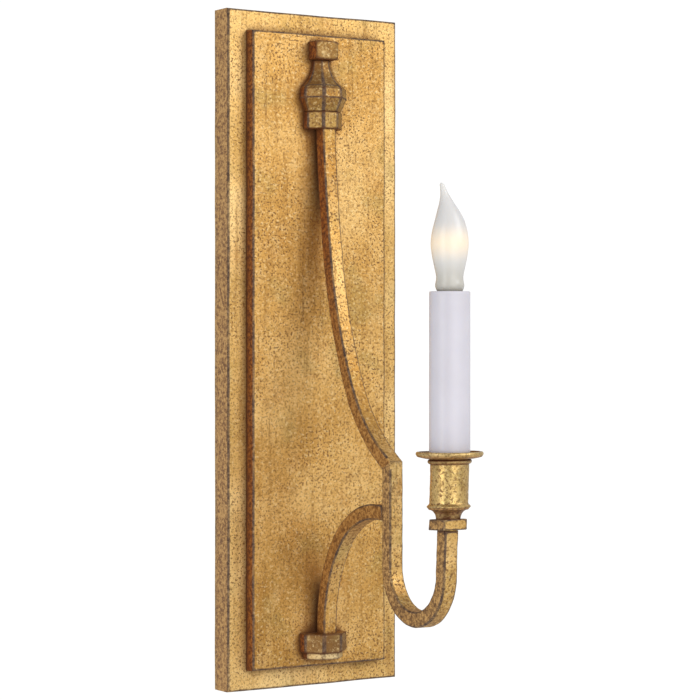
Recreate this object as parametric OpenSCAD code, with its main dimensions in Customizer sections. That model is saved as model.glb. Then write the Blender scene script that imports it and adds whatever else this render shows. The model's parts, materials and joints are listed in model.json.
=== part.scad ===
// Electric candle sconce: a tall gilded iron back plate carries a curved square-bar arm
// with a hook at its foot, and a cup, drip dish, candle sleeve and flame-tip lamp stand on the hook.
// Frame: origin on the wall plane at the middle of the back plate, +X right, +Y into the wall, +Z up.
// Lengths called "out" are distances from the wall, so a point at out = 30 has y = -30.

/* [Back plate] */
// Width of the back plate
plate_w = 134; // [128:1:144]
// Height of the back plate
plate_h = 457.2; // [450:0.1:470]
// Distance from the wall to the back plate's front face
plate_out = 18; // [17:0.5:19]
// Width of the plain border around the raised panel
border = 14; // [12:0.5:16]
// Height of the raised panel above the border
panel_rise = 8.5; // [7:0.5:10]
// Thickness of the plate and panel sheet
sheet = 1.6; // [1.2:0.1:2]

/* [Arm] */
// Side of the square bar
bar = 10.2; // [9.6:0.1:11]
// Wall of the square tube
tube_wall = 1.6; // [1.2:0.1:2]
// Distance from the wall to the arm's centre line where it leaves the finial
arm_out = 33.5; // [33:0.1:34]
// Height of that point
arm_top_z = 150; // [148:0.5:152]
// Slope of the arm from the vertical at its top, after each of its three arcs
arm_slopes = [3.3, 9.5, 25.4, 57];
// Radii of the three arcs, from the top down
arm_radii = [853, 312, 112];
// Distance from the wall to the centre line of the upright leg
leg_out = 116.2; // [116:0.1:117]
// Radius of the hook's centre line
hook_r = 32.6; // [32:0.1:34]
// Height of the centre of the hook's half circle
hook_z = -137.5; // [-140:0.5:-135]
// Distance from the wall to the brace's centre line at the foot
brace_out = 34.6; // [34:0.1:35]
// Height of the brace's level end
brace_z = -104.9; // [-107:0.1:-104]
// Radii of the brace's two arcs, from the foot up
brace_radii = [95, 60];
// Angle the brace turns through in its first arc
brace_turn = 38; // [36:0.5:40]

/* [Finial and foot] */
// Half width across the flats of the finial's bulb
bulb_a = 16.7; // [15:0.1:18]
// Half width across the flats of the finial's neck
neck_a = 6.5; // [6:0.1:7]
// Half width across the flats of the collar under the finial
collar_a = 13.6; // [13:0.1:14.5]
// Heights of the collar's foot and top, the bulb's two creases, the neck's top and the cap's top
finial_z = [149.4, 161, 170.4, 178.6, 196.3, 208.9];
// Width and depth of the square cap
cap_size = [17.4, 10.3];
// Half width across the flats of the foot block and of the step under it
foot_a = [16.5, 14.2];
// Heights of the foot block's top, its bottom and the step's bottom
foot_z = [-191.2, -203.9, -208.6];

/* [Candle] */
// Outer radius of the candle sleeve
sleeve_r = 12.8; // [12.7:0.1:13.1]
// Inner radius of the candle sleeve
sleeve_bore_r = 11.1; // [11:0.1:11.4]
// Heights of the sleeve's foot and top
sleeve_z = [-63, 37.1];
// Outer radius of the drip dish
dish_r = 21.3; // [19:0.1:24]
// Radius of the cup's wall
cup_r = 12.2; // [12:0.1:12.5]
// Half side and height of the square collar under the cup
collar_half = 8.7; // [8.2:0.1:9.5]
// Heights of the square collar's bottom and top, and of the cup's top
cup_z = [-111.3, -104.4, -67];
// Largest radius of the lamp's glass
lamp_r = 11.9; // [11.5:0.1:12.2]
// How far the flame tip leans to the side
tip_lean = 5; // [0:0.5:6]

/* [Fixings] */
// Distance between the two slots that take the wall box's screws
box_spacing = 79.4; // [79:0.1:80]
// End-to-end length of each slot
slot_length = 23; // [20:0.5:24]
// Half width of each slot
slot_r = 2.3; // [2.2:0.1:2.6]
// Distance of each hanging screw from the middle of the plate
hang_x = 36; // [34:1:40]
// How far the fixture is lifted to come off its hanging screws
hang_lift = 10; // [10:0.5:11]

/* [Hidden] */
$fn = 64;

GILT = [0.80, 0.64, 0.34];
STEEL = [0.70, 0.71, 0.72];
BRASS = [0.80, 0.62, 0.30];

panel_w = plate_w - 2 * border;
panel_h = plate_h - 2 * border;
panel_out = plate_out + panel_rise;      // out of the raised panel's front face
panel_lap = 10;                          // how far the window's edge lies inside the panel
channel = bar - 2 * tube_wall;           // side of the hollow in the square tube
candle_out = leg_out + 2 * hook_r;       // out of the candle's axis
lean_dir = [-0.848, 0.53, 0];            // direction of the flame tip's lean
ball = 1.2;                               // radius of the balls at a wire's bends, in wire radii
joint_step = 0.03;                        // how much wider a bar is across its joints

// ---- Points and headings in the plane of the arm. A point is [out, z].
// A heading is measured from straight down: 0 is down, 90 is away from the wall, 180 is up.

function along(h) = [sin(h), -cos(h)];
function across(h) = [cos(h), sin(h)];
function past_arc(p, r, from, to) = p + r * (across(from) - across(to));

arm_0 = [arm_out, arm_top_z];
arm_1 = past_arc(arm_0, arm_radii[0], arm_slopes[0], arm_slopes[1]);
arm_2 = past_arc(arm_1, arm_radii[1], arm_slopes[1], arm_slopes[2]);
arm_3 = past_arc(arm_2, arm_radii[2], arm_slopes[2], arm_slopes[3]);
last_slope = arm_slopes[3];
stub = (leg_out - arm_3[0]) / sin(last_slope);
kink = arm_3 + stub * along(last_slope);
arm_tail = 10.6;                          // length of the arm's end inside the finial's collar

module at(p, x = 0) {
  translate([x, -p[0], p[1]]) children();
}

// A straight run of a square bar from p along heading h.
module bar_run(p, h, length, side) {
  at(p) rotate([-h, 0, 0]) translate([-side / 2, -side / 2, -length]) cube([side, side, length]);
}

// A short collar over the joint of two runs of a square bar at p.
module bar_joint(p, h, side) {
  bar_run(p - 0.5 * along(h), h, 1, side + joint_step);
}

// A curved run of the section given as children, about centre c, between two headings.
module turn(c, r, from, to, x = 0) {
  at(c, x) rotate([0, 90, 0]) rotate([0, 0, 90 - to]) rotate_extrude(angle = to - from)
    translate([r, 0]) children();
}

// The same for a bend the other way, whose centre lies on the wall's side.
module turn_back(c, r, from, to, x = 0) {
  at(c, x) rotate([0, 90, 0]) rotate([0, 0, -90 - from]) rotate_extrude(angle = from - to)
    translate([r, 0]) children();
}

// A round wire through a list of points in space, with a ball at each bend.
module wire(points, r) {
  for (i = [1:len(points) - 1]) {
    p = points[i - 1];
    d = points[i] - p;
    length = norm(d);
    translate(p) rotate([0, acos(d[2] / length), atan2(d[1], d[0])]) cylinder(r = r, h = length);
    if (i > 1) translate(p) sphere(r = r * ball);
  }
}

// ---- Wall bracket

module slot_hole(z) {
  reach = slot_length / 2 - slot_r;
  for (s = [-1, 1]) translate([0, 1, z + s * reach]) rotate([90, 0, 0]) cylinder(r = slot_r, h = 4);
  translate([-slot_r, -3, z - reach]) cube([2 * slot_r, 4, 2 * reach]);
}

strap_t = 1.6;                            // thickness of both straps
strap_w = 20;
strap_h = 112;
cross_h = 18;
cross_past = 9;                           // how far the cross strap runs past each hanging screw
rivet_x = 5;
rivet_r = 1.8;
rivet_head_r = 3;
snug = 0.05;                              // gap between a hole and the part it holds
hang_r = 2;                               // radius of a hanging screw's shank
hang_head_r = 4.2;
hang_head_t = 2;
hang_head_out = 9.7;                      // out of the back of its head
hang_nut_r = 4.2;
ground_z = -22;
ground_r = 1.85;                          // radius of an earth screw
ground_head_r = 4;

module wall_strap() {
  color(STEEL) difference() {
    translate([-strap_w / 2, -strap_t, -strap_h / 2]) cube([strap_w, strap_t, strap_h]);
    for (s = [-1, 1]) slot_hole(s * box_spacing / 2);
    for (s = [-1, 1]) translate([s * rivet_x, 1, 0]) rotate([90, 0, 0]) cylinder(r = rivet_r, h = 4);
    translate([0, 1, ground_z]) rotate([90, 0, 0]) cylinder(r = ground_r + snug, h = 4);
  }
}

module cross_strap() {
  color(STEEL) difference() {
    translate([-hang_x - cross_past, -2 * strap_t, -cross_h / 2])
      cube([2 * (hang_x + cross_past), strap_t, cross_h]);
    for (s = [-1, 1]) translate([s * rivet_x, 0, 0]) rotate([90, 0, 0]) cylinder(r = rivet_r, h = 5);
    for (s = [-1, 1]) translate([s * hang_x, 0, 0]) rotate([90, 0, 0]) cylinder(r = hang_r + snug, h = 5);
  }
}

module strap_rivets() {
  color(STEEL) for (s = [-1, 1]) translate([s * rivet_x, 0, 0]) rotate([90, 0, 0]) {
    cylinder(r = rivet_r, h = 2 * strap_t);
    translate([0, 0, 2 * strap_t]) cylinder(r1 = rivet_head_r, r2 = 2.2, h = 1);
  }
}

module hanging_screws() {
  color(STEEL) for (s = [-1, 1]) translate([s * hang_x, 0, 0]) difference() {
    union() {
      translate([0, -strap_t, 0]) rotate([90, 0, 0]) cylinder(r = hang_r, h = hang_head_out - strap_t);
      translate([0, -hang_head_out, 0]) rotate([90, 0, 0]) cylinder(r = hang_head_r, h = hang_head_t);
    }
    translate([-0.5, -12, -5]) cube([1, 1.2, 10]);
  }
}

module hanging_locknuts() {
  color(STEEL) for (s = [-1, 1]) translate([s * hang_x, -2 * strap_t, 0]) rotate([90, 0, 0]) difference() {
    cylinder(r = hang_nut_r, h = 2.4, $fn = 6);
    translate([0, 0, -1]) cylinder(r = hang_r + snug, h = 5);
  }
}

module box_ground_screw() {
  color("green") translate([0, -0.2, ground_z]) rotate([90, 0, 0]) difference() {
    union() {
      cylinder(r = ground_r, h = 3);
      translate([0, 0, 1.4]) cylinder(r = ground_head_r, h = 2.6);
    }
    translate([-5, -0.5, 3]) cube([10, 1, 2]);
  }
}

// ---- Back plate

module box_between(size, out_from, out_to) {
  translate([-size[0] / 2, -out_to, -size[1] / 2]) cube([size[0], out_to - out_from, size[1]]);
}

module back_pan() {
  color(GILT) difference() {
    box_between([plate_w, plate_h], 0, plate_out);
    box_between([plate_w - 2 * sheet, plate_h - 2 * sheet], -1, plate_out - sheet);
    box_between([panel_w - 2 * panel_lap, panel_h - 2 * panel_lap], 0, plate_out + 1);
  }
}

wire_bend_r = 5.5;
bend_low = arm_0 - 14 * along(arm_slopes[0]);
bend_c = bend_low - wire_bend_r * across(arm_slopes[0]);
bend_high = bend_c + wire_bend_r * across(90);
wire_hole_z = bend_high[1];
bushing_r = 4.4;

// Screw places as [x, z, radius of the shank, radius of the head].
collar_screw_z = (finial_z[0] + finial_z[1]) / 2;
finial_screw_places = [
  [-8.5, collar_screw_z, 1.7, 3.2], [8.5, collar_screw_z, 1.7, 3.2],
  [0, 187, 1.7, 3.2], [0, (finial_z[4] + finial_z[5]) / 2, 1.7, 3.2]
];
foot_screw_places = [
  [-10.5, (foot_z[0] + foot_z[1]) / 2, 2, 3.6], [10.5, (foot_z[0] + foot_z[1]) / 2, 2, 3.6],
  [0, (foot_z[1] + foot_z[2]) / 2, 1.2, 2.1]
];
screw_depth = 6;
screw_gap = 0.25;                         // gap of the panel's screw holes

module from_behind(place, out) {
  translate([place[0], -out, place[1]]) rotate([90, 0, 0]) children();
}

module raised_panel() {
  color(GILT) difference() {
    box_between([panel_w, panel_h], plate_out, panel_out);
    box_between([panel_w - 2 * sheet, panel_h - 2 * sheet], plate_out - 1, panel_out - sheet);
    from_behind([0, wire_hole_z], plate_out) cylinder(r = bushing_r + snug, h = panel_rise + 1);
    for (p = finial_screw_places) from_behind(p, plate_out)
      cylinder(r = p[2] + screw_gap, h = panel_rise + 1);
    for (p = foot_screw_places) from_behind(p, plate_out)
      cylinder(r = p[2] + screw_gap, h = panel_rise + 1);
  }
}

key_r = 2.3;                              // half width of a keyhole's slot
key_head_r = 5;                           // radius of its round end

module keyhole(x) {
  translate([x, 0, 0]) {
    translate([0, -5, 0]) rotate([90, 0, 0]) cylinder(r = key_r, h = 6);
    translate([-key_r, -11, -hang_lift]) cube([2 * key_r, 6, hang_lift]);
    translate([0, -5, -hang_lift]) rotate([90, 0, 0]) cylinder(r = key_head_r, h = 6);
  }
}

ground_place = [52, 6];                   // x and height of the fixture's earth screw
hanger_out = 9.1;
hanger_t = 1.5;
hanger_z = [-20, 13];

module hanger_plate() {
  color(STEEL) difference() {
    translate([-plate_w / 2 + sheet, -hanger_out, hanger_z[0]])
      cube([plate_w - 2 * sheet, hanger_t, hanger_z[1] - hanger_z[0]]);
    for (s = [-1, 1]) keyhole(s * hang_x);
    translate([ground_place[0], 0, ground_place[1]]) rotate([90, 0, 0])
      cylinder(r = ground_r + snug, h = 12);
  }
}

module screws_from_behind(places) {
  inner = panel_out - sheet;
  color(STEEL) for (p = places) from_behind(p, inner - 2) difference() {
    union() {
      cylinder(r = p[3], h = 2);
      cylinder(r = p[2], h = 2 + sheet + screw_depth);
    }
    translate([-p[3], -0.4, -1]) cube([2 * p[3], 0.8, 1.8]);
  }
}

module screw_sockets(places) {
  for (p = places) from_behind(p, panel_out - 1) cylinder(r = p[2] + snug, h = screw_depth + 1.5);
}

// ---- Finial and foot

module front_half() {
  intersection() {
    children();
    translate([-50, -100]) square(100);
  }
}

module half_octagon(a, z_low, z_high) {
  translate([0, -panel_out, z_low]) linear_extrude(z_high - z_low) front_half()
    rotate(22.5) circle(r = a / cos(22.5), $fn = 8);
}

module finial_cap() {
  color(GILT) difference() {
    translate([-cap_size[0] / 2, -panel_out - cap_size[1], finial_z[4]])
      cube([cap_size[0], cap_size[1], finial_z[5] - finial_z[4]]);
    screw_sockets([finial_screw_places[3]]);
  }
}

// The neck's hollow flare is an arc whose top is upright and which meets the bulb's upper crease.
flare_drop = finial_z[4] - finial_z[3];
crease_a = 14.6;
flare_run = crease_a - neck_a;
flare_r = (flare_run * flare_run + flare_drop * flare_drop) / (2 * flare_run);
flare_end = asin(flare_drop / flare_r);
flare = [
  for (i = [0:8]) let (t = flare_end * i / 8)
    [neck_a + flare_r * (1 - cos(t)), finial_z[4] - flare_r * sin(t)]
];
finial_profile = concat(
  [[0, finial_z[4]]], flare,
  [[bulb_a - 0.5, finial_z[3] - 1.9], [bulb_a, finial_z[2]]],
  [[collar_a - 0.7, finial_z[1]], [0, finial_z[1]]]
);

// The finial's outline, pushed through sideways. Four of these at 45 degrees leave an octagonal bulb.
module finial_slab(turned) {
  mirrored = [for (i = [len(finial_profile) - 2:-1:1]) [-finial_profile[i][0], finial_profile[i][1]]];
  translate([0, -panel_out, 0]) rotate(turned) rotate([90, 0, 0]) translate([0, 0, -40])
    linear_extrude(80) polygon(concat(finial_profile, mirrored));
}

hollow = [9.6, 12.5, 15];                  // width, depth and height of the room for the arm's end

module finial_body() {
  color(GILT) difference() {
    intersection() {
      finial_slab(0);
      finial_slab(45);
      finial_slab(90);
      finial_slab(135);
      translate([-50, -panel_out - 50, 100]) cube([100, 50, 150]);
    }
    translate([-hollow[0] / 2, -panel_out - hollow[1], finial_z[1] - 1])
      cube([hollow[0], hollow[1] + 1, hollow[2] + 1]);
    screw_sockets([finial_screw_places[2]]);
  }
}

module arm_end_hole(side) {
  bar_run(arm_0 - (arm_tail + 5) * along(arm_slopes[0]), arm_slopes[0], arm_tail + 12, side);
}

module finial_collar() {
  color(GILT) difference() {
    half_octagon(collar_a, finial_z[0], finial_z[1]);
    arm_end_hole(bar + 0.1);
    screw_sockets([finial_screw_places[0], finial_screw_places[1]]);
  }
}

module finial_screws() {
  screws_from_behind(finial_screw_places);
}

brace_foot_z = foot_z[0] - 9;              // height of the brace's lower end, inside the foot block
brace_mid_h = 180 - brace_turn;
brace_start_z = brace_z - brace_radii[1] * (1 - sin(brace_turn)) - brace_radii[0] * sin(brace_turn);
brace_c0 = [brace_out + brace_radii[0], brace_start_z];
brace_mid = brace_c0 + brace_radii[0] * across(brace_mid_h);
brace_c1 = brace_mid - brace_radii[1] * across(brace_mid_h);

module foot_block() {
  color(GILT) difference() {
    half_octagon(foot_a[0], foot_z[1], foot_z[0]);
    bar_run([brace_out, foot_z[0] + 5], 0, 5 + foot_z[0] - brace_foot_z, bar + 0.1);
    screw_sockets([foot_screw_places[0], foot_screw_places[1]]);
  }
}

module foot_step() {
  color(GILT) difference() {
    half_octagon(foot_a[1], foot_z[2], foot_z[1]);
    screw_sockets([foot_screw_places[2]]);
  }
}

module foot_screws() {
  screws_from_behind(foot_screw_places);
}

// ---- Arm, hook and brace

// A block that reaches away from the arm's mitre joint: side is -1 below the joint and 1 above it.
module past_mitre(side) {
  reach = 100;
  at(kink) rotate([-last_slope / 2, 0, 0]) translate([0, 0, side * reach / 2])
    cube(reach, center = true);
}

module arm_path(side, more = 0) {
  start = arm_0 - (arm_tail + more) * along(arm_slopes[0]);
  ends = [arm_0, arm_1, arm_2];
  bar_run(start, arm_slopes[0], arm_tail + more, side);
  for (i = [0:2]) bar_joint(ends[i], arm_slopes[i], side);
  bar_joint(arm_3, last_slope, side);
  for (i = [0:2]) turn(
    ends[i] + arm_radii[i] * across(arm_slopes[i]), arm_radii[i], arm_slopes[i], arm_slopes[i + 1]
  ) square(side, center = true);
  bar_run(arm_3, last_slope, stub + bar, side);
}

module upper_arm() {
  color(GILT) difference() {
    arm_path(bar);
    arm_path(channel, 1);
    past_mitre(-1);
  }
}

module hook_path(side, more = 0) {
  bar_run([leg_out, kink[1] + bar], 0, kink[1] + bar - hook_z, side);
  bar_joint([leg_out, hook_z], 0, side);
  turn([leg_out + hook_r, hook_z], hook_r, 0, 180) square(side, center = true);
  bar_joint([candle_out, hook_z], 0, side);
  bar_run([candle_out, cup_z[0] + more], 0, cup_z[0] + more - hook_z, side);
}

module hook_arm() {
  color(GILT) difference() {
    hook_path(bar);
    hook_path(channel, 1);
    past_mitre(1);
  }
}

module lower_brace() {
  color(GILT) {
    bar_run([brace_out, brace_start_z], 0, brace_start_z - brace_foot_z, bar);
    bar_joint([brace_out, brace_start_z], 0, bar);
    turn_back(brace_c0, brace_radii[0], 180, brace_mid_h) square(bar, center = true);
    bar_joint(brace_mid, brace_mid_h, bar);
    turn_back(brace_c1, brace_radii[1], brace_mid_h, 90) square(bar, center = true);
    bar_joint([brace_c1[0], brace_z], 90, bar);
    bar_run([brace_c1[0], brace_z], 90, leg_out - bar / 2 - brace_c1[0], bar);
  }
}

// ---- Cup, dish and collar

module candle_axis() {
  translate([0, -candle_out, 0]) children();
}

module cup_collar() {
  color(GILT) candle_axis() difference() {
    translate([-collar_half, -collar_half, cup_z[0]])
      cube([2 * collar_half, 2 * collar_half, cup_z[1] - cup_z[0]]);
    translate([0, 0, cup_z[0] - 1]) cylinder(r = nipple_r + snug, h = 12);
  }
}

nipple_r = 4.8;
nipple_bore_r = 3.5;
nipple_h = 24.5;
cup_foot_r = 7.7;
cup_lip_z = cup_z[1] + 7.4;               // height of the flared ring's underside
bead_r = 1.5;
cup_floor_z = cup_z[1] + 6.4;
// The cup's underside is a hollow arc from its foot out to the flared ring.
cup_under = [
  for (i = [0:8]) let (t = 90 * i / 8)
    [
      cup_foot_r + (cup_r + 0.3 - cup_foot_r) * (1 - cos(t)),
      cup_z[1] + (cup_lip_z - 1.4 - cup_z[1]) * sin(t)
    ]
];

module candle_cup() {
  color(GILT) candle_axis() difference() {
    union() {
      rotate_extrude() polygon(concat(
        [[0, cup_z[1]]], cup_under,
        [[cup_r + 1.6, cup_lip_z], [cup_r + 1.6, cup_lip_z + 0.8], [cup_r, cup_lip_z + 2.2],
         [cup_r, cup_z[2] - bead_r], [cup_r, cup_z[2]], [0, cup_z[2]]]
      ));
      rotate_extrude() translate([cup_r + 0.1, cup_z[2] - bead_r]) circle(r = bead_r);
    }
    translate([0, 0, cup_floor_z]) cylinder(r = cup_r - 1.8, h = 60);
    translate([0, 0, cup_z[1] - 1]) cylinder(r = 5, h = 20);
  }
}

dish_hole_r = 9.9;
dish_floor_z = sleeve_z[0] - 0.3;

module bobeche() {
  color(GILT) candle_axis() rotate_extrude() polygon([
    [dish_hole_r, cup_z[2]], [cup_r + 1.7, cup_z[2]],
    [dish_r - 0.7, cup_z[2] + 1.4], [dish_r, cup_z[2] + 2],
    [dish_r, cup_z[2] + 4.4], [dish_r - 0.9, cup_z[2] + 4.7], [dish_r - 2, dish_floor_z],
    [dish_hole_r, dish_floor_z]
  ]);
}

// ---- Inside the cup and the sleeve

module threaded_nipple() {
  color(BRASS) candle_axis() difference() {
    translate([0, 0, cup_z[0]]) cylinder(r = nipple_r, h = nipple_h);
    translate([0, 0, cup_z[0] - 1]) cylinder(r = nipple_bore_r, h = 30);
  }
}

washer_z = cup_floor_z;
washer_t = 0.8;
nut_z = washer_z + washer_t;
nut_r = 8.2;                              // radius of the washer and of the locknut's corners

module lock_washer() {
  color(STEEL) candle_axis() translate([0, 0, washer_z]) difference() {
    cylinder(r = nut_r, h = washer_t);
    translate([0, 0, -1]) cylinder(r = 5, h = 3);
    translate([0, -0.6, -1]) cube([10, 1.2, 3]);
  }
}

module nipple_locknut() {
  color(BRASS) candle_axis() translate([0, 0, nut_z]) difference() {
    cylinder(r = nut_r, h = 3.4, $fn = 6);
    translate([0, 0, -1]) cylinder(r = nipple_r + snug, h = 6);
  }
}

hickey_z = -91.2;
socket_z = -2;
leg_back = 7.6;                           // distance of the hickey's leg behind the candle's axis
leg_t = 1.2;
tab_half = 3.5;
block_top_z = 12;                         // height of the floor inside the socket
hickey_screw_r = 1.4;

module socket_hickey() {
  color(STEEL) candle_axis() difference() {
    union() {
      translate([-5, -6, hickey_z]) cube([10, 6 + leg_back + leg_t, 4]);
      translate([-tab_half, leg_back, hickey_z]) cube([2 * tab_half, leg_t, socket_z - hickey_z]);
      translate([-tab_half, -tab_half, socket_z - leg_t])
        cube([2 * tab_half, tab_half + leg_back + leg_t, leg_t]);
    }
    translate([0, 0, hickey_z - 1]) cylinder(r = nipple_r + snug, h = 6);
    translate([0, 0, socket_z - 3]) cylinder(r = hickey_screw_r + snug, h = 5);
  }
}

module hickey_screw() {
  color(STEEL) candle_axis() difference() {
    union() {
      translate([0, 0, socket_z - leg_t]) cylinder(r = hickey_screw_r, h = 6);
      translate([0, 0, socket_z - leg_t - 1.8]) cylinder(r = 2.5, h = 1.8);
    }
    translate([-3, -0.4, socket_z - leg_t - 3]) cube([6, 0.8, 1.9]);
  }
}

lead_r = 1;
lead_x = 1.5;                             // half the distance between the two leads in the tube
terminal_x = 5.5;                         // half the distance between the socket's terminals
socket_top_z = 35;
socket_r = 10.2;
socket_bore_r = 7.05;
terminal_r = 0.9;                         // radius of a terminal's rivet

module socket_body() {
  color([0.12, 0.10, 0.09]) candle_axis() difference() {
    translate([0, 0, socket_z]) cylinder(r = socket_r, h = socket_top_z - socket_z);
    translate([0, 0, block_top_z]) cylinder(r = socket_bore_r, h = 40);
    translate([0, 0, socket_top_z - 2]) cylinder(r = 7.8, h = 3);
    translate([0, 0, socket_z - 1]) cylinder(r = hickey_screw_r + snug, h = 7);
    translate([0, 0, 7]) cylinder(r = 1.25, h = 8);
    for (s = [-1, 1]) translate([s * terminal_x, 0, socket_z - 1]) {
      cylinder(r = lead_r + 0.1, h = 5.2);
      cylinder(r = terminal_r + snug, h = 20);
    }
  }
}

module socket_liner() {
  color([0.55, 0.42, 0.28]) candle_axis() translate([0, 0, -12]) difference() {
    cylinder(r = 10.8, h = 48);
    translate([0, 0, -1]) cylinder(r = 10.3, h = 50);
  }
}

// A screw shell's wall zigzags from crest to root once every pitch.
pitch = 2.54;
function zigzag(r_root, r_crest, z, turns) =
  [for (i = [0:2 * turns]) [i % 2 == 0 ? r_root : r_crest, z + i * pitch / 2]];
function reversed(v) = [for (i = [len(v) - 1:-1:0]) v[i]];

module screw_shell(r_root, r_crest, wall, z, turns) {
  inner = zigzag(r_root - wall, r_crest - wall, z, turns);
  outer = zigzag(r_root, r_crest, z, turns);
  rotate_extrude() polygon(concat(inner, reversed(outer)));
}

shell_z = 13.2;

module socket_shell() {
  color(BRASS) candle_axis() union() {
    screw_shell(6.95, 6.55, 0.35, shell_z, 8);
    translate([0, 0, shell_z]) difference() {
      cylinder(r = 6.9, h = 0.4);
      translate([0, 0, -1]) cylinder(r = 4.9, h = 3);
    }
  }
}

module socket_contact() {
  color(BRASS) candle_axis() difference() {
    union() {
      translate([-1.6, -1.6, block_top_z]) cube([terminal_x + 2.4, 3.2, 0.4]);
      translate([0, 0, block_top_z]) cylinder(r1 = 2, r2 = 1.3, h = 2.2);
      translate([0, 0, 7.2]) cylinder(r = 1.2, h = 5);
    }
    translate([terminal_x, 0, block_top_z - 1]) cylinder(r = terminal_r + snug, h = 3);
  }
}

module terminal_rivets() {
  color(BRASS) candle_axis() {
    translate([terminal_x, 0, 2.2]) cylinder(r = terminal_r, h = block_top_z + 0.4 - 2.2);
    translate([-terminal_x, 0, 2.2]) cylinder(r = terminal_r, h = shell_z - 2.2);
  }
}

// ---- Wiring

kink_bend_r = 8;
kink_cut = kink_bend_r * tan(last_slope / 2);
splay_z = [-84, -14];

// The part of a lead inside the arm: through the bushing, down the tube and round the hook.
module lead_in_tube(x) {
  ends = [arm_0, arm_1, arm_2];
  corner = kink - kink_cut * along(last_slope);
  corner_end = [leg_out, kink[1] - kink_cut];
  turn_back(bend_c, wire_bend_r, 90, arm_slopes[0], x) circle(r = lead_r);
  at(arm_0, x) rotate([-arm_slopes[0], 0, 0]) cylinder(r = lead_r, h = 14);
  for (i = [0:2]) turn(
    ends[i] + arm_radii[i] * across(arm_slopes[i]), arm_radii[i], arm_slopes[i], arm_slopes[i + 1], x
  ) circle(r = lead_r);
  at(corner, x) rotate([-last_slope, 0, 0]) cylinder(r = lead_r, h = stub - kink_cut);
  turn_back(corner - kink_bend_r * across(last_slope), kink_bend_r, last_slope, 0, x) circle(r = lead_r);
  at([leg_out, hook_z], x) cylinder(r = lead_r, h = corner_end[1] - hook_z);
  turn([leg_out + hook_r, hook_z], hook_r, 0, 180, x) circle(r = lead_r);
  bends = concat(
    [bend_high, bend_low], ends,
    [arm_3, corner, corner_end, [leg_out, hook_z], [candle_out, hook_z]]
  );
  for (p = bends) at(p, x) sphere(r = lead_r * ball);
}

connector_z = 146;                        // height of the wire connectors' mouths
connector_out = 19;

module lead() {
  lead_in_tube(lead_x);
  wire([
    [lead_x, -candle_out, hook_z], [lead_x, -candle_out, splay_z[0]],
    [terminal_x, -candle_out, splay_z[1]], [terminal_x, -candle_out, 2.2]
  ], lead_r);
  wire([
    [lead_x, -bend_high[0], wire_hole_z], [lead_x, 6 - bend_high[0], wire_hole_z],
    [9, -connector_out, connector_z + 6], [9, -connector_out, connector_z - 8]
  ], lead_r);
}

module lead_hot() {
  color([0.1, 0.1, 0.1]) lead();
}

module lead_neutral() {
  color([0.9, 0.9, 0.88]) mirror([1, 0, 0]) lead();
}

module wire_bushing() {
  color([0.1, 0.1, 0.1]) from_behind([0, wire_hole_z], panel_out - sheet - 1) difference() {
    union() {
      cylinder(r = 6, h = 1);
      cylinder(r = bushing_r, h = 1 + sheet);
    }
    translate([0, 0, -1]) cylinder(r = 3, h = 5);
  }
}

ground_join = [26, connector_z - 20];     // x and height of the ground wire's connector mouth
connector_places = [[-9, connector_z], [9, connector_z], ground_join];

module wire_connectors() {
  color([0.85, 0.45, 0.1]) for (p = connector_places)
    translate([p[0], -connector_out, p[1]]) difference() {
      translate([0, 0, -18]) cylinder(r1 = 2.6, r2 = 4.8, h = 18);
      translate([0, 0, -14]) cylinder(r = 2.2, h = 15);
    }
}

module ground_screw() {
  color("green") from_behind(ground_place, 7) difference() {
    union() {
      cylinder(r = ground_r, h = 5);
      translate([0, 0, 4.5]) cylinder(r = 3.8, h = 1.8);
    }
    translate([-5, -0.5, 5.5]) cube([10, 1, 2]);
  }
}

module ground_wire() {
  x = ground_place[0];
  z = ground_place[1];
  jx = ground_join[0];
  jz = ground_join[1];
  color([0.2, 0.5, 0.2]) wire([
    [x, -10.1, z + 1.9], [x - 12, -14, z + 60],
    [jx + 9, -connector_out, jz - 2], [jx + 6, -connector_out, jz + 7],
    [jx, -connector_out, jz + 8], [jx, -connector_out, jz - 8]
  ], 0.9);
}

// ---- Sleeve and lamp

module candle_sleeve() {
  color([0.88, 0.87, 0.89]) candle_axis() translate([0, 0, sleeve_z[0]]) difference() {
    cylinder(r = sleeve_r, h = sleeve_z[1] - sleeve_z[0]);
    translate([0, 0, -1]) cylinder(r = sleeve_bore_r, h = 110);
  }
}

// The glass's outline as [height, radius]; a smooth curve runs through these points.
glass_stations = [
  [33, 5.3], [34.6, 5.4], [36.2, 6.9], [38, 8.4], [41, 9.2], [46, 8.5],
  [53, 9.8], [60, 11.2], [67, lamp_r], [74, 11.1], [81, 9.3], [87, 7],
  [92, 4.7], [97, 2.8], [101, 1.9], [103.4, 1.6], [104.7, 0.4]
];
glass_sides = 24;
steps_between = 2;
glass_wall = 0.7;

function smooth(a, b, c, d, t) =
  b + t * (c - a) / 2
    + t * t * (a - 2.5 * b + 2 * c - d / 2)
    + t * t * t * (-a / 2 + 1.5 * b - 1.5 * c + d / 2);
function station(i) = glass_stations[max(0, min(len(glass_stations) - 1, i))];
glass_curve = concat(
  [
    for (i = [0:len(glass_stations) - 2]) for (k = [0:steps_between - 1]) let (t = k / steps_between)
      [
        for (j = [0:1]) smooth(station(i - 1)[j], station(i)[j], station(i + 1)[j], station(i + 2)[j], t)
      ]
  ],
  [glass_stations[len(glass_stations) - 1]]
);

// The flame tip leans over more and more above this height.
lean_from_z = 80;
lean_height = 24;
function lean(z) = z < lean_from_z ? 0 : tip_lean * pow((z - lean_from_z) / lean_height, 1.4);

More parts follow.
